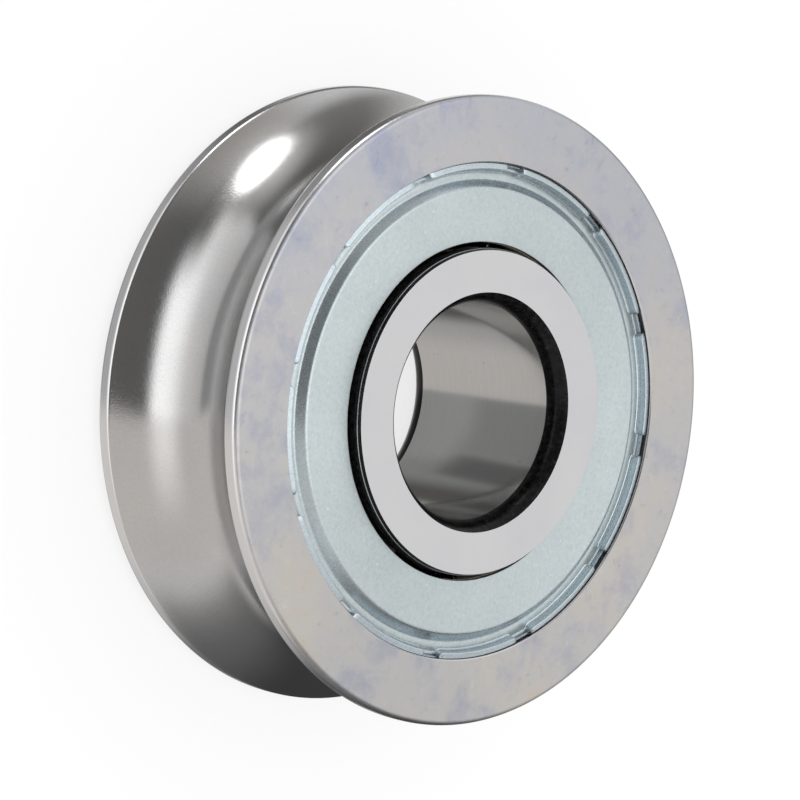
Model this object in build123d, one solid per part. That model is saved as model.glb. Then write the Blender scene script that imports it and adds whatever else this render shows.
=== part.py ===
from build123d import *
import math
import os

# Profiled track roller: a double-row angular contact ball bearing whose thick outer ring
# carries a gothic arch groove that runs on a round guide shaft.
# Millimetres and degrees. The origin is the centre of the bore and +Z is the axis of rotation.
# A section is drawn with x as the radius and y as the height along +Z, then turned about Z.

# Rings
roller_diameter = 72.0
outer_ring_width = 23.8
inner_ring_width = 25.8
bore_diameter = 25.0

# Track groove: two flank arcs that meet in a shallow crease at mid width
rail_diameter = 25.0
groove_depth = 5.065
flank_relief = 0.5
flank_contact_angle = 30.0
groove_edge_round = 0.6
rim_corner_round = 0.65

# Rolling elements and raceways: the balls run midway between the bore and the crease of the
# groove, less a small inward offset
pitch_offset = 0.3175
ball_diameter = 8.731
ball_spacing = 2.2
ball_contact_angle = 30.0
raceway_radius = 4.54
raceway_play = 0.02
outer_rib_height = 1.77
outer_shoulder_height = 0.47
inner_rib_height = 0.87
inner_shoulder_height = 1.665
raceway_edge_round = 0.15

# Inner ring corners
bore_corner_radial = 1.2
bore_corner_axial = 2.4
bore_corner_bulge = 0.35
face_corner_radial = 0.2
face_corner_axial = 0.45

# Shields: pressed steel sheet with a hemmed rim, held under the lip of the outer ring
sheet_thickness = 0.5
disc_recess = 0.3
step_height = 0.88
step_run = 0.97
step_setback = 1.12
bend_round = 0.45
flange_width = 1.045
hem_width = 1.035
hem_lean = 0.29
hem_foot_round = 0.2
hem_play = 0.05
hem_drop = 0.19
hem_tuck = 0.15
shield_gap = 0.62
shield_edge_round = 0.12
notch_count = 12
notch_angle = 5.0
notch_phase = 22.7

# Bridge left in each notch between two tabs: a low bar, a slit and a higher bar behind it
bridge_setback = 0.14
bridge_height = 0.13
bridge_bar = 0.44
bridge_slit = 0.08
bridge_slit_depth = 0.25
rear_bar_height = 0.45
rear_bar = 0.3

# Lip of the outer ring: it reaches over the hem, with an underside cut at 45 degrees
lip_height = 0.25
lip_overhang = 0.12
lip_play = 0.065
lip_edge_chamfer = 0.12

# Cages: snap-in crowns whose ring lies between the balls and the shield
cage_shield_gap = 0.3
cage_ring_thickness = 0.8
cage_ball_gap = 0.2345
cage_ring_gap_inner = 0.6
cage_ring_gap_outer = 1.4
crown_thickness = 2.8
crown_reach = 1.6
pocket_play = 0.12

# Worked out from the sizes above
roller_radius = roller_diameter / 2
bore_radius = bore_diameter / 2
outer_face = outer_ring_width / 2
inner_face = inner_ring_width / 2
ball_radius = ball_diameter / 2
crease_radius = roller_radius - groove_depth
pitch_radius = (bore_radius + crease_radius) / 2 - pitch_offset

outer_raceway_bottom = pitch_radius + ball_radius
inner_raceway_bottom = pitch_radius - ball_radius
outer_rib_radius = outer_raceway_bottom - outer_rib_height
outer_shoulder_radius = outer_raceway_bottom - outer_shoulder_height
inner_rib_radius = inner_raceway_bottom + inner_rib_height
inner_shoulder_radius = inner_raceway_bottom + inner_shoulder_height

disc_top = outer_face - disc_recess
disc_underside = disc_top - sheet_thickness
flange_top = disc_top - step_height
ledge_height = flange_top - sheet_thickness
disc_inner_radius = inner_shoulder_radius + shield_gap
step_foot_radius = outer_shoulder_radius + step_setback
disc_edge_radius = step_foot_radius - step_run
hem_inner_radius = step_foot_radius + flange_width
hem_outer_radius = hem_inner_radius + hem_width
seat_radius = hem_outer_radius + hem_play
lip_radius = hem_outer_radius - lip_overhang
lip_underside = outer_face - lip_height
undercut_foot = lip_underside - (seat_radius - lip_radius)
crest_outer_radius = lip_radius - lip_play
crest_inner_radius = hem_inner_radius + hem_lean
crest_radius = (crest_outer_radius + crest_inner_radius) / 2
crest_round = crest_outer_radius - crest_radius
crest_top = outer_face - hem_drop
crest_height = crest_top - crest_round
hem_shoulder_height = undercut_foot - hem_tuck

cage_top = disc_underside - cage_shield_gap
cage_ring_underside = cage_top - cage_ring_thickness
row_height = cage_ring_underside - cage_ball_gap - ball_radius
cage_ring_inner_radius = inner_shoulder_radius + cage_ring_gap_inner
cage_ring_outer_radius = outer_shoulder_radius - cage_ring_gap_outer
crown_tip = row_height - crown_reach
balls_per_row = int(2 * math.pi * pitch_radius / (ball_diameter + ball_spacing))
ball_step = 360.0 / balls_per_row


def corner_at(sketch, radius, height):
    """The corner of a section that lies nearest to one point."""
    target = Vector(radius, height, 0)
    return min(sketch.vertices(), key=lambda vertex: (vertex.center() - target).length)


def reach(arc_radius, offset):
    """Half the chord of a circle at some distance from its centre."""
    return math.sqrt(arc_radius**2 - offset**2)


def groove_flank():
    """Centre and radius of the arc that forms the upper flank of the track groove."""
    flank_radius = rail_diameter / 2 + flank_relief
    below_centre = flank_relief * math.sin(math.radians(flank_contact_angle))
    centre_radius = crease_radius + reach(flank_radius, below_centre)
    return centre_radius, -below_centre, flank_radius


def raceway_centre(side):
    """Centre of a raceway arc of the upper row; side is 1 on the outer ring and -1 on the inner."""
    backed_off = side * (raceway_radius - ball_radius - raceway_play)
    angle = math.radians(ball_contact_angle)
    return pitch_radius - backed_off * math.cos(angle), row_height + backed_off * math.sin(angle)


def turned(half_section):
    """A ring that is the same above and below mid width, turned from its upper half section."""
    whole = half_section + mirror(half_section, about=Plane.XY)
    return revolve(whole.face(), axis=Axis.Z)


def outer_ring():
    """The rolled and ground outer ring, with its track groove, two raceways and two shield seats."""
    flank_r, flank_z, flank_radius = groove_flank()
    edge_z = flank_z + reach(flank_radius, flank_r - roller_radius)
    middle_z = edge_z / 2
    crease = (crease_radius, 0)
    flank_middle = (flank_r - reach(flank_radius, middle_z - flank_z), middle_z)
    race_r, race_z = raceway_centre(1)
    rib_edge = (outer_rib_radius, race_z - reach(raceway_radius, outer_rib_radius - race_r))
    shoulder_edge = (outer_shoulder_radius, race_z + reach(raceway_radius, outer_shoulder_radius - race_r))
    with BuildSketch(Plane.XZ) as section:
        with BuildLine():
            Line((outer_rib_radius, 0), rib_edge)
            ThreePointArc(rib_edge, (race_r + raceway_radius, race_z), shoulder_edge)
            Polyline(
                shoulder_edge,
                (outer_shoulder_radius, ledge_height),
                (seat_radius, ledge_height),
                (seat_radius, undercut_foot),
                (lip_radius, lip_underside),
                (lip_radius, outer_face),
                (roller_radius, outer_face),
                (roller_radius, edge_z),
            )
            ThreePointArc((roller_radius, edge_z), flank_middle, crease)
            Line(crease, (outer_rib_radius, 0))
        make_face()
        fillet(corner_at(section, roller_radius, outer_face), rim_corner_round)
        fillet(corner_at(section, roller_radius, edge_z), groove_edge_round)
        fillet(corner_at(section, *rib_edge), raceway_edge_round)
        fillet(corner_at(section, *shoulder_edge), raceway_edge_round)
        chamfer(corner_at(section, lip_radius, outer_face), lip_edge_chamfer)
    return turned(section.sketch)


def inner_ring():
    """The one-piece inner ring: ground bore and faces, turned corners and two raceways."""
    race_r, race_z = raceway_centre(-1)
    rib_edge = (inner_rib_radius, race_z - reach(raceway_radius, race_r - inner_rib_radius))
    shoulder_edge = (inner_shoulder_radius, race_z + reach(raceway_radius, race_r - inner_shoulder_radius))
    corner_start = (bore_radius, inner_face - bore_corner_axial)
    corner_end = (bore_radius + bore_corner_radial, inner_face)
    corner_length = math.hypot(bore_corner_radial, bore_corner_axial)
    corner_middle = (
        bore_radius + bore_corner_radial / 2 - bore_corner_bulge * bore_corner_axial / corner_length,
        inner_face - bore_corner_axial / 2 + bore_corner_bulge * bore_corner_radial / corner_length,
    )
    face_corner = (inner_shoulder_radius - face_corner_radial, inner_face)
    with BuildSketch(Plane.XZ) as section:
        with BuildLine():
            Line((bore_radius, 0), corner_start)
            ThreePointArc(corner_start, corner_middle, corner_end)
            Polyline(
                corner_end,
                face_corner,
                (inner_shoulder_radius, inner_face - face_corner_axial),
                shoulder_edge,
            )
            ThreePointArc(shoulder_edge, (race_r - raceway_radius, race_z), rib_edge)
            Polyline(rib_edge, (inner_rib_radius, 0), (bore_radius, 0))
        make_face()
        fillet(corner_at(section, *rib_edge), raceway_edge_round)
        fillet(corner_at(section, *shoulder_edge), raceway_edge_round)
        fillet(corner_at(section, inner_shoulder_radius, inner_face - face_corner_axial), face_corner_radial)
    return turned(section.sketch)


def upper_shield():
    """The shield above the upper row: raised disc, stepped flange and a hemmed rim in separate tabs."""
    slope = math.atan2(step_height, step_run)
    bend_shift = sheet_thickness * math.tan(slope / 2)
    with BuildSketch(Plane.XZ) as section:
        with BuildLine():
            Polyline(
                (disc_inner_radius, disc_underside),
                (disc_inner_radius, disc_top),
                (disc_edge_radius, disc_top),
                (step_foot_radius, flange_top),
                (hem_inner_radius, flange_top),
                (crest_inner_radius, crest_height),
            )
            ThreePointArc(
                (crest_inner_radius, crest_height),
                (crest_radius, crest_top),
                (crest_outer_radius, crest_height),
            )
            Polyline(
                (crest_outer_radius, crest_height),
                (hem_outer_radius, hem_shoulder_height),
                (hem_outer_radius, ledge_height),
                (step_foot_radius - bend_shift, ledge_height),
                (disc_edge_radius - bend_shift, disc_underside),
                (disc_inner_radius, disc_underside),
            )
        make_face()
        fillet(corner_at(section, disc_edge_radius, disc_top), bend_round)
        fillet(corner_at(section, step_foot_radius, flange_top), bend_round)
        fillet(corner_at(section, hem_inner_radius, flange_top), hem_foot_round)
        fillet(corner_at(section, disc_inner_radius, disc_top), shield_edge_round)
        fillet(corner_at(section, hem_outer_radius, ledge_height), bend_round)
    shield = revolve(section.sketch.face(), axis=Axis.Z)
    notch = notch_cutter()
    for index in range(notch_count):
        shield -= notch.rotate(Axis.Z, notch_phase + index * 360.0 / notch_count)
    return shield


def notch_cutter():
    """A sector that takes the hem away between two tabs and leaves a low bridge of two bars with a slit."""
    bridge_inner = hem_inner_radius + bridge_setback
    bridge_top = flange_top + bridge_height
    slit_inner = bridge_inner + bridge_bar
    slit_outer = slit_inner + bridge_slit
    rear_bar_top = flange_top + rear_bar_height
    rear_bar_outer = slit_outer + rear_bar
    beyond = seat_radius + hem_width
    with BuildSketch(Plane.XZ) as section:
        with BuildLine():
            Polyline(
                (step_foot_radius, flange_top),
                (bridge_inner, flange_top),
                (bridge_inner, bridge_top),
                (slit_inner, bridge_top),
                (slit_inner, bridge_top - bridge_slit_depth),
                (slit_outer, bridge_top - bridge_slit_depth),
                (slit_outer, rear_bar_top),
                (rear_bar_outer, rear_bar_top),
                (rear_bar_outer, ledge_height - sheet_thickness),
                (beyond, ledge_height - sheet_thickness),
                (beyond, outer_face),
                (step_foot_radius, outer_face),
                close=True,
            )
        make_face()
    sector = revolve(section.sketch.face(), axis=Axis.Z, revolution_arc=notch_angle)
    return sector.rotate(Axis.Z, -notch_angle / 2)


def upper_cage():
    """A snap-in crown: a ring above the balls, with webs that reach down between them."""
    with BuildSketch(Plane.XZ) as section:
        with BuildLine():
            Polyline(
                (cage_ring_inner_radius, cage_top),
                (cage_ring_outer_radius, cage_top),
                (cage_ring_outer_radius, cage_ring_underside),
                (pitch_radius + crown_thickness / 2, cage_ring_underside),
                (pitch_radius + crown_thickness / 2, crown_tip),
                (pitch_radius - crown_thickness / 2, crown_tip),
                (pitch_radius - crown_thickness / 2, cage_ring_underside),
                (cage_ring_inner_radius, cage_ring_underside),
                close=True,
            )
        make_face()
    cage = revolve(section.sketch.face(), axis=Axis.Z)
    for index in range(balls_per_row):
        pocket = Sphere(ball_radius + pocket_play)
        cage -= pocket.move(ball_place(index, 1))
    return cage


def ball_place(index, side):
    """Where the centre of a ball lies; side is 1 for the upper row and -1 for the lower."""
    stagger = 0.0 if side > 0 else ball_step / 2
    angle = math.radians(index * ball_step + stagger)
    return Location((pitch_radius * math.cos(angle), pitch_radius * math.sin(angle), side * row_height))


def turned_over(upper_part, half_turn_about):
    """The lower copy of an upper part: the same piece, put in from the other side."""
    return upper_part.rotate(half_turn_about, 180)


def pieces():
    """Every separate piece of the bearing by its name."""
    shield = upper_shield()
    cage = upper_cage()
    quarter_step = math.radians(ball_step / 4)
    between_rows = Axis((0, 0, 0), (math.cos(quarter_step), math.sin(quarter_step), 0))
    found = {
        "outer_ring": outer_ring(),
        "inner_ring": inner_ring(),
        "front_shield": shield,
        "rear_shield": turned_over(shield, Axis.X),
        "front_cage": cage,
        "rear_cage": turned_over(cage, between_rows),
    }
    for row, side in (("front", 1), ("rear", -1)):
        for index in range(balls_per_row):
            found[f"ball_{row}_{index + 1:02d}"] = Sphere(ball_radius).move(ball_place(index, side))
    return found


os.makedirs("parts", exist_ok=True)
for name, shape in pieces().items():
    export_step(shape, f"parts/{name}.step")
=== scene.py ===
import math

import bpy
from mathutils import Matrix, Vector

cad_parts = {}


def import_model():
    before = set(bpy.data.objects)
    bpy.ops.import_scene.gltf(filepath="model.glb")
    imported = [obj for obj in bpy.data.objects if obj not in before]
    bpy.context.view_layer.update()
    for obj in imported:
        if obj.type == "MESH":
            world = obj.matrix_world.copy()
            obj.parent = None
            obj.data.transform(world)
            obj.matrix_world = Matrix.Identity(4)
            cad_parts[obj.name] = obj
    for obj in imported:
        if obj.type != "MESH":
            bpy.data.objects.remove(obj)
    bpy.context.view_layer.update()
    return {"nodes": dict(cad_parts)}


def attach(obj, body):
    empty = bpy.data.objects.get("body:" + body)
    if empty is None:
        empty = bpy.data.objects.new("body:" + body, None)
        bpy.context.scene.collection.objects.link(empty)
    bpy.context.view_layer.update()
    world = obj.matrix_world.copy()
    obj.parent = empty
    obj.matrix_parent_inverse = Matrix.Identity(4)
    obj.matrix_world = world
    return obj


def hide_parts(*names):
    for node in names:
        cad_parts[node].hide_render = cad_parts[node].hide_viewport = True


# The looks of a profiled track roller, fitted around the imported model.
# Lengths are in metres in the model's own frame: +Z is the bore axis and the front face is up.

MM = 0.001

# Rings
ROLLER_RADIUS = 36.0 * MM
OUTER_FACE = 11.9 * MM
INNER_FACE = 12.9 * MM
BORE_RADIUS = 12.5 * MM

# Track groove
CREASE_RADIUS = 30.935 * MM
FLANK_RADIUS = 13.0 * MM
FLANK_SHIFT = 0.25 * MM
GROOVE_EDGE_ROUND = 0.6 * MM
RIM_CORNER_ROUND = 0.65 * MM

# Inside of the outer ring
SEAT_RADIUS = 28.55 * MM
LIP_RADIUS = 28.38 * MM
LIP_HEIGHT = 0.25 * MM
LIP_CHAMFER = 0.12 * MM
LEDGE_HEIGHT = 10.22 * MM
OUTER_SHOULDER = 25.2955 * MM
OUTER_RIB = 23.9955 * MM

# Inner ring
INNER_SHOULDER = 18.6995 * MM
INNER_RIB = 17.9045 * MM
BORE_CORNER_RADIAL = 1.2 * MM
BORE_CORNER_AXIAL = 2.4 * MM
BORE_CORNER_BULGE = 0.35 * MM
FACE_CORNER_RADIAL = 0.2 * MM
FACE_CORNER_AXIAL = 0.45 * MM
WORN_EDGE = 0.10 * MM

# Raceways
PITCH_RADIUS = 21.4 * MM
ROW_HEIGHT = 5.4 * MM
RACEWAY_RADIUS = 4.54 * MM
RACEWAY_BACK_OFF = 0.1545 * MM
CONTACT_ANGLE = math.radians(30.0)

# Shield, with the notches' phase and angle and CURL_REACH in degrees
SHEET = 0.5 * MM
DISC_TOP = 11.6 * MM
FLANGE_TOP = 10.72 * MM
DISC_INNER = 19.3195 * MM
DISC_EDGE = 25.4455 * MM
STEP_FOOT = 26.4155 * MM
HEM_INNER = 27.4605 * MM
HEM_OUTER = 28.4955 * MM
HEM_SHOULDER = 11.33 * MM
CREST_INNER = 27.62 * MM
CREST_OUTER = 28.31 * MM
CREST_TOP = 11.75 * MM
CREST_SLOPE = math.radians(13.0)
FOOT_ROUND = 0.28 * MM
BEND_ROUND = 0.45 * MM
CREST_ROUND = 0.14 * MM
STEP_TOP_ROUND = 0.6 * MM
STEP_FOOT_ROUND = 0.4 * MM
FLANGE_RISE = 0.10 * MM
NOTCH_COUNT = 12
NOTCH_PHASE = 22.7
NOTCH_ANGLE = 5.0
BRIDGE_SETBACK = 0.14 * MM
BRIDGE_HEIGHT = 0.13 * MM
BRIDGE_BAR = 0.44 * MM
BRIDGE_SLIT = 0.08 * MM
BRIDGE_SLIT_DEPTH = 0.25 * MM
REAR_BAR_HEIGHT = 0.45 * MM
REAR_BAR = 0.3 * MM
BRIDGE_ROUND = 0.12 * MM
BAR_ROUND = 0.16 * MM
CURL_REACH = 1.5
CURL_BACK = 0.36
CURL_DROP = 0.24

# Mesh fineness
AROUND = 360
RACEWAY_STEPS = 24
FLANK_STEPS = 24
CORNER_STEPS = 10
FOOT_STEPS = 5
ROUND_STEPS = 6
TAB_STEPS = 44
EDGE_BREAK = 0.05 * MM
SUPPORT = 0.03 * MM
SHARP = 0.015 * MM

# Camera, from the fit to the photograph, with lens and sensor in millimetres
CAMERA_PLACE = Vector((-0.359860, 0.030336, 0.385741))
CAMERA_LOOK = Vector((0.680167, -0.057087, -0.730831))
CAMERA_UP = Vector((-0.018784, 0.995278, -0.095225))
CAMERA_LENS = 205.865
CAMERA_SENSOR = 36.0

# Floor
FLOOR_SIZE = 6.0
FLOOR_GREY = 0.25
FLOOR_GLOW = 0.77


# Outlines: lists of (radius, height, zone), where the zone names the finish of the stretch that follows

def arc_points(centre, radius, start, end, count):
    """Points along an arc in the section plane, from one angle to another, in radians."""
    return [
        (
            centre[0] + radius * math.cos(start + (end - start) * k / count),
            centre[1] + radius * math.sin(start + (end - start) * k / count),
        )
        for k in range(count + 1)
    ]


def arc_through(first, middle, last, count):
    """Points along the circle arc that goes through three points."""
    ax, ay = first
    bx, by = middle
    cx, cy = last
    double_area = 2 * (ax * (by - cy) + bx * (cy - ay) + cx * (ay - by))
    a2, b2, c2 = ax * ax + ay * ay, bx * bx + by * by, cx * cx + cy * cy
    ux = (a2 * (by - cy) + b2 * (cy - ay) + c2 * (ay - by)) / double_area
    uy = (a2 * (cx - bx) + b2 * (ax - cx) + c2 * (bx - ax)) / double_area
    start = math.atan2(ay - uy, ax - ux)
    sweep_mid = (math.atan2(by - uy, bx - ux) - start + math.pi) % (2 * math.pi) - math.pi
    sweep = (math.atan2(cy - uy, cx - ux) - start + math.pi) % (2 * math.pi) - math.pi
    if sweep * sweep_mid < 0:
        sweep += math.copysign(2 * math.pi, sweep_mid)
    return arc_points((ux, uy), math.hypot(ax - ux, ay - uy), start, start + sweep, count)


def rounded(corners):
    """Rounds each corner (radius, height, round, zone) of a closed outline and adds support points."""
    outline = []
    total = len(corners)
    for k in range(total):
        r, z, round_size, zone = corners[k]
        here = Vector((r, z))
        before = Vector(corners[k - 1][:2])
        after = Vector(corners[(k + 1) % total][:2])
        if round_size <= 0:
            outline.append((r, z, zone))
            continue
        back = (before - here).normalized()
        ahead = (after - here).normalized()
        half = math.acos(max(-1.0, min(1.0, back.dot(ahead)))) / 2
        run = round_size / math.tan(half)
        centre = here + (back + ahead).normalized() * (round_size / math.sin(half))
        start = here + back * run
        end = here + ahead * run
        from_angle = math.atan2(start.y - centre.y, start.x - centre.x)
        to_angle = math.atan2(end.y - centre.y, end.x - centre.x)
        sweep = (to_angle - from_angle + math.pi) % (2 * math.pi) - math.pi
        previous_zone = corners[k - 1][3]
        if (before - start).length > 3 * SUPPORT:
            point = start + back * SUPPORT
            outline.append((point.x, point.y, previous_zone))
        for s in range(ROUND_STEPS + 1):
            angle = from_angle + sweep * s / ROUND_STEPS
            this_zone = previous_zone if s < ROUND_STEPS / 2 else zone
            outline.append((
                centre.x + round_size * math.cos(angle),
                centre.y + round_size * math.sin(angle),
                this_zone,
            ))
        if (after - end).length > 3 * SUPPORT:
            point = end + ahead * SUPPORT
            outline.append((point.x, point.y, zone))
    return outline


def lower_half(upper):
    """The same corners below mid width, in the order that closes the outline."""
    mirrored = []
    for k in range(len(upper) - 1, -1, -1):
        r, z, round_size, _ = upper[k]
        zone = upper[k - 1][3] if k > 0 else upper[-1][3]
        mirrored.append((r, -z, round_size, zone))
    return mirrored


# Meshes

def lathe(name, outline, materials):
    """A closed ring turned from an outline about Z, with one material per zone."""
    zones = list(materials)
    verts = []
    for s in range(AROUND):
        angle = 2 * math.pi * s / AROUND
        c, n = math.cos(angle), math.sin(angle)
        verts += [(r * c, r * n, z) for r, z, _ in outline]
    count = len(outline)
    faces = []
    slots = []
    for s in range(AROUND):
        near, far = s * count, ((s + 1) % AROUND) * count
        for k in range(count):
            after = (k + 1) % count
            faces.append((near + k, far + k, far + after, near + after))
            slots.append(zones.index(outline[k][2]))
    return make_mesh(name, verts, faces, slots, [materials[zone] for zone in zones])


def make_mesh(name, verts, faces, slots, materials):
    """A smooth shaded mesh object with its materials assigned face by face."""
    mesh = bpy.data.meshes.new(name)
    mesh.from_pydata(verts, [], faces)
    for material in materials:
        mesh.materials.append(material)
    mesh.polygons.foreach_set("material_index", slots)
    mesh.polygons.foreach_set("use_smooth", [True] * len(faces))
    mesh.update()
    piece = bpy.data.objects.new(name, mesh)
    bpy.context.scene.collection.objects.link(piece)
    return piece


def outward(outline):
    """The outline in the order that makes the faces of a lathe point out of the solid."""
    area = sum(
        outline[k - 1][0] * outline[k][1] - outline[k][0] * outline[k - 1][1]
        for k in range(len(outline))
    )
    if area > 0:
        return outline
    flipped = outline[::-1]
    zones = [point[2] for point in flipped[1:]] + [flipped[0][2]]
    return [(r, z, zone) for (r, z, _), zone in zip(flipped, zones)]


# Rings

def outer_ring_outline():
    """Upper half from the rib inside, over the seat and the face, to the crease of the groove."""
    race_r = PITCH_RADIUS - RACEWAY_BACK_OFF * math.cos(CONTACT_ANGLE)
    race_z = ROW_HEIGHT + RACEWAY_BACK_OFF * math.sin(CONTACT_ANGLE)
    low = -math.acos((OUTER_RIB - race_r) / RACEWAY_RADIUS)
    high = math.acos((OUTER_SHOULDER - race_r) / RACEWAY_RADIUS)
    raceway = arc_points((race_r, race_z), RACEWAY_RADIUS, low, high, RACEWAY_STEPS)
    flank_r = CREASE_RADIUS + math.sqrt(FLANK_RADIUS**2 - FLANK_SHIFT**2)
    edge_z = -FLANK_SHIFT + math.sqrt(FLANK_RADIUS**2 - (flank_r - ROLLER_RADIUS)**2)
    at_edge = math.atan2(edge_z + FLANK_SHIFT, ROLLER_RADIUS - flank_r)
    at_crease = math.atan2(FLANK_SHIFT, CREASE_RADIUS - flank_r)
    flank = arc_points((flank_r, -FLANK_SHIFT), FLANK_RADIUS, at_edge, at_crease, FLANK_STEPS)
    upper = [(OUTER_RIB, 0.0, 0, "turned")]
    upper += [(r, z, 0, "polished") for r, z in raceway]
    upper[-1] = (OUTER_SHOULDER, raceway[-1][1], EDGE_BREAK, "turned")
    upper += [
        (OUTER_SHOULDER, LEDGE_HEIGHT, EDGE_BREAK, "turned"),
        (SEAT_RADIUS, LEDGE_HEIGHT, EDGE_BREAK, "turned"),
        (SEAT_RADIUS, OUTER_FACE - LIP_HEIGHT - (SEAT_RADIUS - LIP_RADIUS), 0, "turned"),
        (LIP_RADIUS, OUTER_FACE - LIP_HEIGHT, 0, "edge"),
        (LIP_RADIUS, OUTER_FACE - LIP_CHAMFER, SHARP, "edge"),
        (LIP_RADIUS + LIP_CHAMFER, OUTER_FACE, SHARP, "face"),
        (ROLLER_RADIUS, OUTER_FACE, RIM_CORNER_ROUND, "rim"),
        (ROLLER_RADIUS, edge_z, GROOVE_EDGE_ROUND, "groove"),
    ]
    upper += [(r, z, 0, "groove") for r, z in flank[1:-1]]
    upper.append((CREASE_RADIUS, 0.0, 0, "groove"))
    return outward(rounded(upper + lower_half(upper)[1:-1]))


def inner_ring_outline():
    """Upper half from the bore, over the black corner and the face, to the rib outside."""
    race_r = PITCH_RADIUS + RACEWAY_BACK_OFF * math.cos(CONTACT_ANGLE)
    race_z = ROW_HEIGHT - RACEWAY_BACK_OFF * math.sin(CONTACT_ANGLE)
    high = math.pi - math.acos((race_r - INNER_SHOULDER) / RACEWAY_RADIUS)
    low = math.pi + math.acos((race_r - INNER_RIB) / RACEWAY_RADIUS)
    raceway = arc_points((race_r, race_z), RACEWAY_RADIUS, high, low, RACEWAY_STEPS)
    length = math.hypot(BORE_CORNER_RADIAL, BORE_CORNER_AXIAL)
    corner_start = (BORE_RADIUS, INNER_FACE - BORE_CORNER_AXIAL)
    corner_end = (BORE_RADIUS + BORE_CORNER_RADIAL, INNER_FACE)
    corner_middle = (
        BORE_RADIUS + BORE_CORNER_RADIAL / 2 - BORE_CORNER_BULGE * BORE_CORNER_AXIAL / length,
        INNER_FACE - BORE_CORNER_AXIAL / 2 + BORE_CORNER_BULGE * BORE_CORNER_RADIAL / length,
    )
    corner = arc_through(corner_start, corner_middle, corner_end, CORNER_STEPS)
    upper = [(BORE_RADIUS, 0.0, 0, "bore"), (*corner[0], EDGE_BREAK, "black")]
    upper += [(r, z, 0, "black") for r, z in corner[1:-1]]
    upper += [
        (*corner[-1], EDGE_BREAK, "face"),
        (INNER_SHOULDER - FACE_CORNER_RADIAL, INNER_FACE, EDGE_BREAK, "black"),
        (INNER_SHOULDER - WORN_EDGE / 3, INNER_FACE - FACE_CORNER_AXIAL + WORN_EDGE / 2, 0, "worn"),
        (INNER_SHOULDER, INNER_FACE - FACE_CORNER_AXIAL - WORN_EDGE / 2, 0, "black"),
        (INNER_SHOULDER, raceway[0][1], EDGE_BREAK, "polished"),
    ]
    upper += [(r, z, 0, "polished") for r, z in raceway[1:-1]]
    upper += [(INNER_RIB, raceway[-1][1], EDGE_BREAK, "black"), (INNER_RIB, 0.0, 0, "black")]
    return outward(rounded(upper + lower_half(upper)[1:-1]))


# Shield

def shield_base_outline():
    """Disc, step and flange, and the two low bars that bridge the notches."""
    shift = SHEET * math.tan(math.atan2(DISC_TOP - FLANGE_TOP, STEP_FOOT - DISC_EDGE) / 2)
    ledge = FLANGE_TOP - SHEET
    bar_inner = HEM_INNER + BRIDGE_SETBACK
    slit_inner = bar_inner + BRIDGE_BAR
    slit_outer = slit_inner + BRIDGE_SLIT
    bar_outer = slit_outer + REAR_BAR
    bar_top = FLANGE_TOP + BRIDGE_HEIGHT
    slit_floor = bar_top - BRIDGE_SLIT_DEPTH
    rear_top = FLANGE_TOP + REAR_BAR_HEIGHT
    corners = [
        (DISC_INNER, DISC_TOP - SHEET, EDGE_BREAK, "plain"),
        (DISC_INNER, DISC_TOP, 2 * EDGE_BREAK, "plain"),
        (DISC_EDGE, DISC_TOP, STEP_TOP_ROUND, "pressed"),
        (STEP_FOOT, FLANGE_TOP - FLANGE_RISE, STEP_FOOT_ROUND, "plain"),
        (bar_inner - EDGE_BREAK, FLANGE_TOP, 0, "pressed"),
        (bar_inner - EDGE_BREAK / 2, FLANGE_TOP - 2 * EDGE_BREAK, 0, "pressed"),
        (bar_inner, FLANGE_TOP, 0, "pressed"),
        (bar_inner, bar_top, BRIDGE_ROUND, "pressed"),
        (slit_inner, bar_top, BAR_ROUND, "pressed"),
        (slit_inner, slit_floor, 0, "pressed"),
        (slit_outer, slit_floor, 0, "pressed"),
        (slit_outer, rear_top - 2 * EDGE_BREAK, 2 * EDGE_BREAK, "pressed"),
        (bar_outer, rear_top, BAR_ROUND, "pressed"),
        (bar_outer, ledge, EDGE_BREAK, "plain"),
        (STEP_FOOT - shift, ledge, BEND_ROUND, "plain"),
        (DISC_EDGE - shift, DISC_TOP - SHEET, BEND_ROUND, "plain"),
    ]
    return outward(rounded(corners))


def tab_outline():
    """Section of one tab: foot, leaning inner wall, sloping crest and the shoulder under the lip."""
    foot_centre = (HEM_INNER - FOOT_ROUND, FLANGE_TOP + FOOT_ROUND)
    foot = arc_points(foot_centre, FOOT_ROUND, -math.pi / 2, 0.0, FOOT_STEPS)
    corners = [(HEM_INNER - FOOT_ROUND, FLANGE_TOP - SHEET / 2, 0)]
    corners += [(r, z, 0) for r, z in foot]
    corners += [
        (CREST_INNER, CREST_TOP, CREST_ROUND),
        (CREST_OUTER, CREST_TOP - (CREST_OUTER - CREST_INNER) * math.tan(CREST_SLOPE), EDGE_BREAK),
        (CREST_OUTER + EDGE_BREAK / 2, HEM_SHOULDER, 0),
        (HEM_OUTER, HEM_SHOULDER, 2 * EDGE_BREAK),
        (HEM_OUTER, FLANGE_TOP - SHEET, BEND_ROUND),
        (HEM_INNER + EDGE_BREAK, FLANGE_TOP - SHEET, EDGE_BREAK),
    ]
    return outward(rounded([(r, z, size, "pressed") for r, z, size in corners]))


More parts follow.
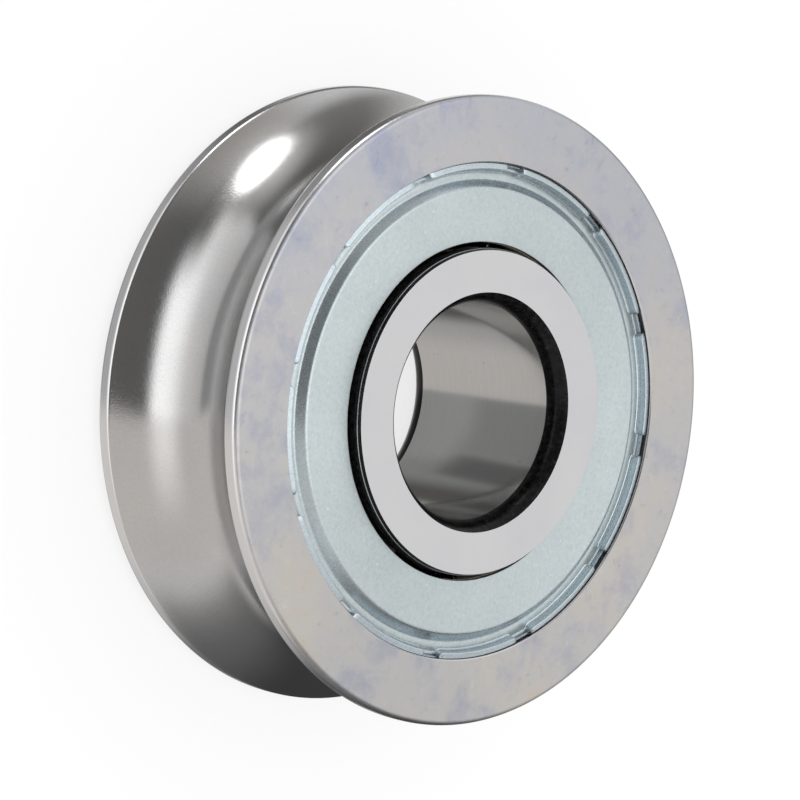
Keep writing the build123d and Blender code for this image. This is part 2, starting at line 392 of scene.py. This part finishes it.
def tab(start, end, outline):
    """Vertices and faces of one tab of the hem, from start to end in degrees.
    Near each end its inner wall and crest curl back."""
    stations = []
    for k in range(TAB_STEPS + 1):
        angle = start + (end - start) * (0.5 - 0.5 * math.cos(math.pi * k / TAB_STEPS))
        near_end = min(angle - start, end - angle, CURL_REACH) / CURL_REACH
        stations.append((angle, math.sqrt(max(0.0, 1.0 - (1.0 - near_end) ** 2))))
    verts = []
    for angle, fullness in stations:
        a = math.radians(angle)
        for r, z, _ in outline:
            height = max(0.0, z - FLANGE_TOP)
            back = max(0.0, HEM_OUTER - r)
            rr = r + back * CURL_BACK * (1.0 - fullness)
            zz = z - height * CURL_DROP * (1.0 - fullness)
            verts.append((rr * math.cos(a), rr * math.sin(a), zz))
    count = len(outline)
    faces = []
    for s in range(len(stations) - 1):
        near, far = s * count, (s + 1) * count
        faces += [(near + k, far + k, far + (k + 1) % count, near + (k + 1) % count) for k in range(count)]
    faces.append(tuple(range(count)))
    last = (len(stations) - 1) * count
    faces.append(tuple(last + k for k in range(count - 1, -1, -1)))
    return verts, faces


def shield(name, side, plain, pressed):
    """One shield: side is 1 for the front and -1 for the rear, which is turned over about X.
    Plain is the material of its disc and flange, and pressed that of its step, bars and tabs: smoother, and
    darker as painted shade."""
    base = lathe(name, shield_base_outline(), {"plain": plain, "pressed": pressed})
    verts = [tuple(v.co) for v in base.data.vertices]
    faces = [tuple(p.vertices) for p in base.data.polygons]
    slots = [p.material_index for p in base.data.polygons]
    bpy.data.objects.remove(base)
    pitch = 360.0 / NOTCH_COUNT
    outline = tab_outline()
    for k in range(NOTCH_COUNT):
        start = NOTCH_PHASE + k * pitch + NOTCH_ANGLE / 2
        tab_verts, tab_faces = tab(start, start + pitch - NOTCH_ANGLE, outline)
        offset = len(verts)
        verts += tab_verts
        faces += [tuple(i + offset for i in face) for face in tab_faces]
        slots += [1] * len(tab_faces)
    if side < 0:
        verts = [(x, -y, -z) for x, y, z in verts]
    return make_mesh(name, verts, faces, slots, [plain, pressed])


# Materials

class Shader:
    """A short way to build a node material around one Principled shader."""

    def __init__(self, name, colour, roughness, metallic=1.0):
        self.material = bpy.data.materials.new(name)
        self.material.use_nodes = True
        self.tree = self.material.node_tree
        self.surface = self.tree.nodes["Principled BSDF"]
        self.surface.inputs["Base Color"].default_value = (*colour, 1.0)
        self.surface.inputs["Roughness"].default_value = roughness
        self.surface.inputs["Metallic"].default_value = metallic
        coordinates = self.tree.nodes.new("ShaderNodeTexCoord")
        self.place = coordinates.outputs["Object"]

    def math(self, operation, a, b=None):
        node = self.tree.nodes.new("ShaderNodeMath")
        node.operation = operation
        for k, value in enumerate((a, b)):
            if isinstance(value, bpy.types.NodeSocket):
                self.tree.links.new(value, node.inputs[k])
            elif value is not None:
                node.inputs[k].default_value = value
        return node.outputs[0]

    def length(self, x, y):
        """The distance of (x, y) from zero."""
        return self.math("SQRT", self.math("ADD", self.math("MULTIPLY", x, x), self.math("MULTIPLY", y, y)))

    def split(self, vector):
        """The x, y and z of a vector."""
        node = self.tree.nodes.new("ShaderNodeSeparateXYZ")
        self.tree.links.new(vector, node.inputs[0])
        return node.outputs[0], node.outputs[1], node.outputs[2]

    def noise(self, scale, detail=2.0, roughness=0.5, place=None, distortion=0.0):
        node = self.tree.nodes.new("ShaderNodeTexNoise")
        node.inputs["Scale"].default_value = scale
        node.inputs["Detail"].default_value = detail
        node.inputs["Roughness"].default_value = roughness
        node.inputs["Distortion"].default_value = distortion
        self.tree.links.new(place or self.place, node.inputs["Vector"])
        return node.outputs["Fac"]

    def ramp(self, value, stops, smooth=False):
        """A colour ramp through (position, grey or colour) stops."""
        node = self.tree.nodes.new("ShaderNodeValToRGB")
        node.color_ramp.interpolation = "EASE" if smooth else "LINEAR"
        while len(node.color_ramp.elements) < len(stops):
            node.color_ramp.elements.new(0.5)
        for element, (position, colour) in zip(node.color_ramp.elements, stops):
            element.position = position
            if not isinstance(colour, tuple):
                colour = (colour, colour, colour)
            element.color = (*colour, 1.0)
        self.tree.links.new(value, node.inputs["Fac"])
        return node.outputs["Color"]

    def fade(self, value, nothing, full):
        """0 where the value is at nothing, rising softly to 1 where it reaches full."""
        if full == nothing:
            return 1.0
        node = self.tree.nodes.new("ShaderNodeMapRange")
        node.interpolation_type = "SMOOTHSTEP"
        self.tree.links.new(value, node.inputs["Value"])
        rising = full > nothing
        node.inputs["From Min"].default_value = min(full, nothing)
        node.inputs["From Max"].default_value = max(full, nothing)
        node.inputs["To Min"].default_value = 0.0 if rising else 1.0
        node.inputs["To Max"].default_value = 1.0 if rising else 0.0
        return node.outputs[0]

    def mix(self, share, a, b, blend="MIX"):
        """Colour a, with a share of colour b laid over it."""
        node = self.tree.nodes.new("ShaderNodeMix")
        node.data_type = "RGBA"
        node.blend_type = blend
        for socket, value in ((node.inputs["Factor"], share), (node.inputs[6], a), (node.inputs[7], b)):
            if isinstance(value, bpy.types.NodeSocket):
                self.tree.links.new(value, socket)
            elif isinstance(value, tuple):
                socket.default_value = (*value, 1.0)
            else:
                socket.default_value = value
        return node.outputs[2]

    def times(self, a, b, share=1.0):
        """One colour multiplied by another, or by a share of it."""
        return self.mix(share, a, b, "MULTIPLY")

    def height_share(self):
        """0 where the roller's Y is lowest and 1 where it is highest, which is up in the photograph."""
        _, y, _ = self.split(self.place)
        return self.math("ADD", self.math("DIVIDE", y, 2 * ROLLER_RADIUS), 0.5)

    def round_marks(self, across, around, detail=2.0):
        """Noise stretched along circles about Z: fine across the radius and height, long around."""
        x, y, z = self.split(self.place)
        radius = self.length(x, y)
        cosine = self.math("DIVIDE", x, radius)
        sine = self.math("DIVIDE", y, radius)
        slant = self.math("MULTIPLY", self.math("ADD", radius, z), across)
        join = self.tree.nodes.new("ShaderNodeCombineXYZ")
        self.tree.links.new(slant, join.inputs[0])
        self.tree.links.new(self.math("MULTIPLY", cosine, around), join.inputs[1])
        self.tree.links.new(self.math("MULTIPLY", sine, around), join.inputs[2])
        return self.noise(1.0, detail, place=join.outputs[0])

    def nicks(self, scale, share, size):
        """Small bent marks in a share of the cells of a grid, 1 inside a mark and 0 outside."""
        wobble_scale = 3000.0
        wobble_reach = 0.0006
        wobble = self.tree.nodes.new("ShaderNodeTexNoise")
        wobble.inputs["Scale"].default_value = wobble_scale
        self.tree.links.new(self.place, wobble.inputs["Vector"])
        spread = self.tree.nodes.new("ShaderNodeVectorMath")
        spread.operation = "MULTIPLY_ADD"
        self.tree.links.new(wobble.outputs["Color"], spread.inputs[0])
        spread.inputs[1].default_value = (wobble_reach, wobble_reach, wobble_reach)
        self.tree.links.new(self.place, spread.inputs[2])
        cells = self.tree.nodes.new("ShaderNodeTexVoronoi")
        cells.inputs["Scale"].default_value = scale
        self.tree.links.new(spread.outputs[0], cells.inputs["Vector"])
        chosen = self.math("LESS_THAN", cells.outputs["Color"], share)
        near = self.math("LESS_THAN", cells.outputs["Distance"], size * scale)
        return self.math("MULTIPLY", chosen, near)

    def bump(self, height, distance, strength=1.0, over=None):
        node = self.tree.nodes.new("ShaderNodeBump")
        node.inputs["Strength"].default_value = strength
        node.inputs["Distance"].default_value = distance
        self.tree.links.new(height, node.inputs["Height"])
        if over is not None:
            self.tree.links.new(over, node.inputs["Normal"])
        return node.outputs["Normal"]

    def lay_marks_around(self, amount):
        """Stretches the sheen across marks that run along circles about Z."""
        tangent = self.tree.nodes.new("ShaderNodeTangent")
        tangent.direction_type = "RADIAL"
        tangent.axis = "Z"
        self.surface.inputs["Anisotropic"].default_value = amount
        self.surface.inputs["Anisotropic Rotation"].default_value = 0.25
        self.set("Tangent", tangent.outputs[0])

    def set(self, socket, value):
        self.tree.links.new(value, self.surface.inputs[socket])


def stained_face():
    """Ground end face of the outer ring, with lilac, straw and water stains, and a painted tint of light,
    cool above and warm below.
    """
    shader = Shader("stained_ground_steel", (0.50, 0.50, 0.51), 0.36)
    broad = shader.noise(60.0, 3.0, 0.55, distortion=0.6)
    patches = shader.noise(125.0, 7.0, 0.68, distortion=0.25)
    fine = shader.noise(900.0, 4.0, 0.70, distortion=0.3)
    base = shader.ramp(broad, [(0.33, (0.485, 0.485, 0.505)), (0.50, (0.50, 0.497, 0.505)),
                               (0.66, (0.525, 0.508, 0.495))], smooth=True)
    stains = shader.ramp(patches, [(0.30, (0.76, 0.79, 0.94)), (0.40, (0.88, 0.90, 0.985)),
                                   (0.48, (1.0, 1.0, 1.0)), (0.57, (1.0, 1.0, 1.0)),
                                   (0.63, (1.03, 0.985, 0.94)), (0.72, (0.99, 0.93, 0.87))])
    # Painted light: the colour is tinted cooler towards the top of the roller and warmer towards the bottom.
    painted_light_tint = shader.ramp(shader.height_share(), [(0.0, (1.02, 1.0, 0.955)), (0.5, (1.01, 1.0, 0.985)),
                                                  (1.0, (0.945, 0.975, 1.04))])
    specks = shader.ramp(fine, [(0.26, 0.82), (0.40, 0.985), (0.62, 1.0), (0.74, 1.10)])
    stained = shader.times(shader.times(base, stains, 0.9), specks)
    shader.set("Base Color", shader.times(stained, painted_light_tint))
    shader.set("Roughness", shader.ramp(patches, [(0.3, 0.42), (0.7, 0.33)]))
    marks = shader.round_marks(26000.0, 30.0)
    shader.set("Normal", shader.bump(marks, 0.000004, 0.5))
    shader.lay_marks_around(0.4)
    return shader.material


def lapped_groove():
    """Running surface of the groove: almost a mirror, with a frosted grain and a few nicks."""
    shader = Shader("lapped_steel", (0.50, 0.50, 0.505), 0.16)
    grain = shader.noise(5200.0, 3.0, 0.7)
    patches = shader.noise(130.0, 4.0, 0.6)
    shader.set("Roughness", shader.ramp(grain, [(0.36, 0.19), (0.62, 0.07)]))
    tone = shader.ramp(patches, [(0.3, (0.485, 0.485, 0.490)), (0.7, (0.515, 0.512, 0.506))])
    frost = shader.ramp(shader.noise(3000.0, 2.0, 0.6), [(0.33, 0.975), (0.5, 1.0), (0.67, 1.02)])
    nicks = shader.nicks(420.0, 0.10, 0.000055)
    marked = shader.times(tone, shader.ramp(nicks, [(0.0, 1.0), (1.0, 0.45)]))
    shader.set("Base Color", shader.times(marked, frost))
    first = shader.bump(nicks, 0.00006, 0.8)
    shader.set("Normal", shader.bump(grain, 0.000008, 1.0, over=first))
    return shader.material


def bright_edge():
    """Narrow turned and honed edges that catch the light."""
    shader = Shader("honed_edge", (0.66, 0.66, 0.67), 0.22)
    marks = shader.round_marks(20000.0, 40.0)
    shader.set("Roughness", shader.ramp(marks, [(0.3, 0.26), (0.7, 0.18)]))
    shader.set("Normal", shader.bump(marks, 0.000003, 0.5))
    return shader.material


def turned_steel():
    """Turned, unground surfaces inside the rings."""
    shader = Shader("turned_steel", (0.60, 0.60, 0.61), 0.4)
    marks = shader.round_marks(9000.0, 12.0)
    shader.set("Roughness", shader.ramp(marks, [(0.3, 0.5), (0.7, 0.35)]))
    shader.set("Normal", shader.bump(marks, 0.00001, 0.5))
    return shader.material


def polished_steel(name, tone):
    """Raceways and balls."""
    shader = Shader(name, (tone, tone, tone * 1.01), 0.08)
    cloud = shader.noise(400.0, 2.0)
    shader.set("Roughness", shader.ramp(cloud, [(0.3, 0.1), (0.7, 0.06)]))
    return shader.material


def inner_face():
    """Fine ground end face of the inner ring."""
    shader = Shader("fine_ground_steel", (0.60, 0.60, 0.61), 0.34)
    clouds = shader.noise(120.0, 3.0, 0.5)
    shader.set("Base Color", shader.ramp(clouds, [(0.3, (0.585, 0.585, 0.60)), (0.7, (0.61, 0.61, 0.615))]))
    shader.set("Roughness", shader.ramp(clouds, [(0.3, 0.37), (0.7, 0.32)]))
    marks = shader.round_marks(30000.0, 60.0)
    shader.set("Normal", shader.bump(marks, 0.000003, 0.4))
    return shader.material


def ground_bore():
    """Bore wall: ground, with faint marks around it and a few handling scuffs."""
    steel = (0.46, 0.46, 0.455)
    shader = Shader("ground_bore", steel, 0.14)
    marks = shader.round_marks(16000.0, 10.0)
    scuffs = shader.noise(900.0, 2.0, 0.6)
    worn = shader.ramp(scuffs, [(0.22, 0.45), (0.28, 1.0)])
    streaks = shader.ramp(shader.round_marks(3500.0, 3.0, 3.0), [(0.3, 0.97), (0.7, 1.02)])
    shader.set("Base Color", shader.times(shader.times(steel, worn, 0.7), streaks))
    shader.set("Roughness", shader.ramp(marks, [(0.3, 0.17), (0.7, 0.12)]))
    shader.set("Normal", shader.bump(marks, 0.000002, 0.3))
    return shader.material


def black_corner():
    """Black heat-treatment skin on the corners that were never ground."""
    shader = Shader("black_skin", (0.004, 0.004, 0.004), 0.2, metallic=0.0)
    shader.surface.inputs["Specular IOR Level"].default_value = 0.16
    skin = shader.noise(1500.0, 4.0, 0.65)
    shader.set("Base Color", shader.ramp(skin, [(0.40, (0.002, 0.002, 0.002)), (0.66, (0.012, 0.012, 0.013)),
                                                (0.76, (0.06, 0.06, 0.06))]))
    shader.set("Roughness", shader.ramp(skin, [(0.3, 0.26), (0.7, 0.14)]))
    marks = shader.round_marks(7000.0, 14.0)
    shader.set("Normal", shader.bump(marks, 0.00001, 0.5))
    return shader.material


def zinc_sheet(name, colour, smooth, rough, sheen):
    """Zinc plated steel sheet: pale blue-green, with a fine crystalline sparkle from its bumps and from
    glints painted into its colour.
    Smooth and rough are the ends of its roughness, and sheen how far it stretches along marks round Z."""
    shader = Shader(name, colour, rough, metallic=0.9)
    crystals = shader.tree.nodes.new("ShaderNodeTexVoronoi")
    crystals.inputs["Scale"].default_value = 4200.0
    shader.tree.links.new(shader.place, crystals.inputs["Vector"])
    clouds = shader.noise(150.0, 3.0, 0.55)
    darker = tuple(0.965 * c for c in colour)
    paler = tuple(1.03 * c for c in colour)
    sheet = shader.ramp(clouds, [(0.3, darker), (0.7, paler)])
    # The crystals differ in tone at random, and the brightest few are painted glints.
    crystal_tone_and_painted_glints = shader.ramp(crystals.outputs["Color"], [(0.0, 0.90), (0.5, 0.98), (0.93, 1.0), (1.0, 1.22)])
    spots = shader.noise(1900.0, 3.0, 0.7)
    flecks = shader.ramp(spots, [(0.32, 0.94), (0.5, 1.0), (0.66, 1.03), (0.74, 1.12)])
    shader.set("Base Color", shader.times(shader.times(sheet, crystal_tone_and_painted_glints), flecks))
    grain = shader.noise(3600.0, 3.0, 0.7)
    first = shader.bump(crystals.outputs["Distance"], 0.000012, 0.4)
    shader.set("Normal", shader.bump(grain, 0.000012, 0.5, over=first))
    shader.set("Roughness", shader.ramp(grain, [(0.3, rough), (0.7, smooth)]))
    if sheen:
        shader.lay_marks_around(sheen)
    return shader.material


def cage_plastic():
    """Natural moulded polyamide."""
    shader = Shader("cage_polyamide", (0.62, 0.55, 0.40), 0.45, metallic=0.0)
    cloud = shader.noise(300.0, 3.0)
    shader.set("Base Color", shader.ramp(cloud, [(0.3, (0.58, 0.50, 0.36)), (0.7, (0.66, 0.59, 0.44))]))
    grain = shader.noise(2500.0, 2.0)
    shader.set("Normal", shader.bump(grain, 0.00001, 0.4))
    return shader.material


# Studio: a white surround, a white floor, and panels that only reflections see

def world():
    """Plain white light from all round, at the strength where white renders as white."""
    surround = bpy.data.worlds.new("studio")
    surround.use_nodes = True
    background = surround.node_tree.nodes["Background"]
    background.inputs["Color"].default_value = (1.0, 1.0, 1.0, 1.0)
    background.inputs["Strength"].default_value = 1.0
    surround.cycles.sampling_method = "NONE"
    bpy.context.scene.world = surround


def floor():
    """White floor under the end face. Most of its white is a glow that lights nothing, for a soft shadow."""
    z = -INNER_FACE
    half = FLOOR_SIZE / 2
    corners = [(-half, -half, z), (half, -half, z), (half, half, z), (-half, half, z)]
    mesh = bpy.data.meshes.new("floor")
    mesh.from_pydata(corners, [], [(0, 1, 2, 3)])
    plane = bpy.data.objects.new("floor", mesh)
    bpy.context.scene.collection.objects.link(plane)
    material = bpy.data.materials.new("white_floor")
    material.use_nodes = True
    tree = material.node_tree
    tree.nodes.clear()
    output = tree.nodes.new("ShaderNodeOutputMaterial")
    diffuse = tree.nodes.new("ShaderNodeBsdfDiffuse")
    diffuse.inputs["Color"].default_value = (FLOOR_GREY, FLOOR_GREY, FLOOR_GREY, 1.0)
    glow = tree.nodes.new("ShaderNodeEmission")
    path = tree.nodes.new("ShaderNodeLightPath")
    seen = tree.nodes.new("ShaderNodeMath")
    seen.operation = "MAXIMUM"
    tree.links.new(path.outputs["Is Camera Ray"], seen.inputs[0])
    also = tree.nodes.new("ShaderNodeMath")
    also.operation = "MAXIMUM"
    tree.links.new(path.outputs["Is Glossy Ray"], also.inputs[0])
    tree.links.new(path.outputs["Is Transmission Ray"], also.inputs[1])
    tree.links.new(also.outputs[0], seen.inputs[1])
    level = tree.nodes.new("ShaderNodeMath")
    level.operation = "MULTIPLY"
    level.inputs[1].default_value = FLOOR_GLOW
    tree.links.new(seen.outputs[0], level.inputs[0])
    tree.links.new(level.outputs[0], glow.inputs["Strength"])
    both = tree.nodes.new("ShaderNodeAddShader")
    tree.links.new(diffuse.outputs[0], both.inputs[0])
    tree.links.new(glow.outputs[0], both.inputs[1])
    tree.links.new(both.outputs[0], output.inputs["Surface"])
    mesh.materials.append(material)
    plane.visible_glossy = False


def panel(name, azimuth, elevation, low, high, soft, distance, round_shape=False):
    """A patch of a sphere round the object that only reflections see: a soft box, a flag or a card.
    Azimuth and elevation are (from, to) in degrees, low and high its colour at the lower and upper edge.
    Soft is the share of the width and height that fades out at the left, right, lower and upper edge.
    A round one fades out from its middle to its rim instead, over its first share."""
    columns = 32
    rows = 24
    verts = []
    places = []
    for j in range(rows + 1):
        e = math.radians(elevation[0] + (elevation[1] - elevation[0]) * j / rows)
        for i in range(columns + 1):
            a = math.radians(azimuth[0] + (azimuth[1] - azimuth[0]) * i / columns)
            reach = distance * math.cos(e)
            verts.append((reach * math.cos(a), reach * math.sin(a), distance * math.sin(e)))
            places.append((i / columns, j / rows))
    faces = []
    for j in range(rows):
        for i in range(columns):
            k = j * (columns + 1) + i
            faces.append((k, k + 1, k + columns + 2, k + columns + 1))
    mesh = bpy.data.meshes.new(name)
    mesh.from_pydata(verts, [], faces)
    layer = mesh.uv_layers.new(name="across")
    for loop in mesh.loops:
        layer.data[loop.index].uv = places[loop.vertex_index]
    card = bpy.data.objects.new(name, mesh)
    bpy.context.scene.collection.objects.link(card)
    mesh.materials.append(panel_material(name, low, high, soft, round_shape))
    card.visible_camera = False
    card.visible_diffuse = False
    card.visible_shadow = False


def panel_material(name, low, high, soft, round_shape):
    """Light that changes evenly from the lower to the upper edge and fades into whatever is behind."""
    shader = Shader(name, low, 1.0)
    tree = shader.tree
    tree.nodes.remove(shader.surface)
    output = next(node for node in tree.nodes if node.type == "OUTPUT_MATERIAL")
    uv = tree.nodes.new("ShaderNodeUVMap")
    uv.uv_map = "across"
    across, up, _ = shader.split(uv.outputs[0])
    if round_shape:
        x = shader.math("MULTIPLY", shader.math("SUBTRACT", across, 0.5), 2.0)
        y = shader.math("MULTIPLY", shader.math("SUBTRACT", up, 0.5), 2.0)
        cover = shader.fade(shader.length(x, y), 1.0, 1.0 - soft[0])
    else:
        cover = shader.math("MULTIPLY", shader.fade(across, 0.0, soft[0]), shader.fade(up, 0.0, soft[2]))
        cover = shader.math("MULTIPLY", cover, shader.fade(across, 1.0, 1.0 - soft[1]))
        cover = shader.math("MULTIPLY", cover, shader.fade(up, 1.0, 1.0 - soft[3]))
    glow = tree.nodes.new("ShaderNodeEmission")
    tree.links.new(shader.mix(up, low, high), glow.inputs["Color"])
    clear = tree.nodes.new("ShaderNodeBsdfTransparent")
    blend = tree.nodes.new("ShaderNodeMixShader")
    tree.links.new(cover, blend.inputs[0])
    tree.links.new(clear.outputs[0], blend.inputs[1])
    tree.links.new(glow.outputs[0], blend.inputs[2])
    tree.links.new(blend.outputs[0], output.inputs["Surface"])
    return shader.material


def grey(level, warmth=0.0):
    """A grey of some level; warmth makes it more beige."""
    return (level * (1 + warmth), level, level * (1 - warmth))


def studio():
    """White surround and floor, and the panels, where a nearer one hides those behind it.
    The last two are small and close to the rear face, for the reflections in the bore."""
    world()
    floor()
    panel("soft_box", (81, 113), (-18, 10), grey(6.5), grey(6.5), (0.65, 0, 0, 0), 0.50, round_shape=True)
    panel("window", (126, 192), (-24, 17), grey(1.75), grey(1.85), (0.40, 0.0, 0.55, 0.30), 0.51)
    spill = grey(1.38, 0.025)
    panel("window_spill", (192, 232), (-26, 17), spill, spill, (0.0, 0.9, 0.5, 0.4), 0.515)
    glow = grey(0.95, 0.01)
    panel("soft_box_glow", (68, 122), (-46, 26), glow, glow, (0.9, 0, 0, 0), 0.52, round_shape=True)
    panel("camera_flag", (100, 192), (8, 66), grey(0.16), grey(0.18, 0.06), (0.30, 0.0, 0.12, 0.15), 0.53)
    near_edge = grey(0.64, 0.01)
    far_edge = grey(1.38, 0.01)
    panel("table_top", (110, 192), (-47.5, 3), near_edge, far_edge, (0.18, 0.0, 0.02, 0.25), 0.54)
    panel("flag_back", (96, 192), (-30, 14), grey(0.26, 0.02), grey(0.22, 0.02), (0.3, 0.0, 0.3, 0.0), 0.55)
    panel("table_card", (192, 276), (-80, 62), grey(0.81, 0.04), grey(0.81, 0.04), (0.0, 0.5, 0.0, 0.1), 0.56)
    panel("left_card", (70, 192), (-88, -40), grey(0.40), grey(0.40), (0.2, 0.0, 0.0, 0.15), 0.58)
    panel("top_card", (30, 118), (-60, 12), grey(0.10, 0.03), grey(0.34, 0.03), (0.3, 0.1, 0.1, 0.2), 0.60)
    panel("upper_card", (60, 130), (4, 48), grey(0.68, 0.04), grey(0.38, 0.04), (0.3, 0.0, 0.1, 0.2), 0.605)
    panel("black_card", (272, 340), (-70, 50), grey(0.07), grey(0.07), (0.40, 0.40, 0.25, 0.35), 0.607)
    panel("low_glow", (240, 345), (-88, -34), grey(0.62, 0.02), grey(0.62, 0.02), (0.0, 0.3, 0.0, 0.25), 0.61)
    panel("shade_card", (245, 330), (-80, 48), grey(0.22), grey(0.20), (0.2, 0.25, 0.0, 0.2), 0.62)
    panel("sky_left", (14, 100), (47, 72), grey(1.9), grey(1.9), (0.35, 0.3, 0.35, 0.1), 0.623)
    panel("sky_right", (268, 320), (30, 62), grey(0.35), grey(0.35), (0.1, 0.25, 0.3, 0.2), 0.627)
    panel("far_card", (322, 398), (-46, 26), grey(0.35), grey(0.40), (0.2, 0.2, 0.1, 0.3), 0.63)
    panel("zenith_box", (0, 360), (66, 90), grey(1.8), grey(1.8), (0.0, 0.0, 0.4, 0.0), 0.64)
    panel("bore_shade", (70, 118), (-62, -31), grey(0.18), grey(0.18), (0.2, 0.25, 0.1, 0.1), 0.0355)
    panel("bore_card", (104, 194.6), (-62, -31), grey(0.37), grey(0.37), (0.2, 0.0, 0.1, 0.1), 0.036)


def camera():
    """The photograph's viewing angle."""
    data = bpy.data.cameras.new("camera")
    data.lens = CAMERA_LENS
    data.sensor_width = CAMERA_SENSOR
    data.sensor_fit = "HORIZONTAL"
    data.clip_start = 0.01
    data.clip_end = 20.0
    back = -CAMERA_LOOK.normalized()
    right = CAMERA_UP.cross(back).normalized()
    up = back.cross(right)
    view = bpy.data.objects.new("camera", data)
    view.matrix_world = Matrix.Translation(CAMERA_PLACE) @ Matrix((right, up, back)).transposed().to_4x4()
    bpy.context.scene.collection.objects.link(view)
    bpy.context.scene.camera = view


def dress(node, material):
    """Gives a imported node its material."""
    node.data.materials.clear()
    node.data.materials.append(material)


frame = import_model()

bpy.context.scene.view_settings.view_transform = "Standard"
camera()
studio()

groove = lapped_groove()
edge = bright_edge()
turned = turned_steel()
race = polished_steel("raceway_steel", 0.6)
black = black_corner()
zinc = zinc_sheet("zinc_plate", (0.56, 0.625, 0.637), 0.30, 0.42, 0.7)
# The pressed copy is smoother, and its darker, bluer tone is painted shade on the step, bars and tabs.
pressed_zinc_painted_shade = zinc_sheet("pressed_zinc_plate", (0.505, 0.575, 0.612), 0.24, 0.33, 0.0)

outer = lathe("outer_ring_turned", outer_ring_outline(), {
    "turned": turned, "polished": race, "edge": edge, "face": stained_face(), "rim": edge, "groove": groove,
})
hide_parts("outer_ring")
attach(outer, "outer_ring")

inner = lathe("inner_ring_turned", inner_ring_outline(), {
    "bore": ground_bore(), "black": black, "face": inner_face(), "worn": edge, "polished": race,
})
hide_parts("inner_ring")
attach(inner, "inner_ring")

for side_name, side in (("front", 1), ("rear", -1)):
    plate = shield(f"{side_name}_shield_pressed", side, zinc, pressed_zinc_painted_shade)
    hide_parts(f"{side_name}_shield")
    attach(plate, "outer_ring")

polyamide = cage_plastic()
ball_steel = polished_steel("ball_steel", 0.66)
for name, node in frame["nodes"].items():
    if name.startswith("ball_"):
        dress(node, ball_steel)
    elif name.endswith("_cage"):
        dress(node, polyamide)
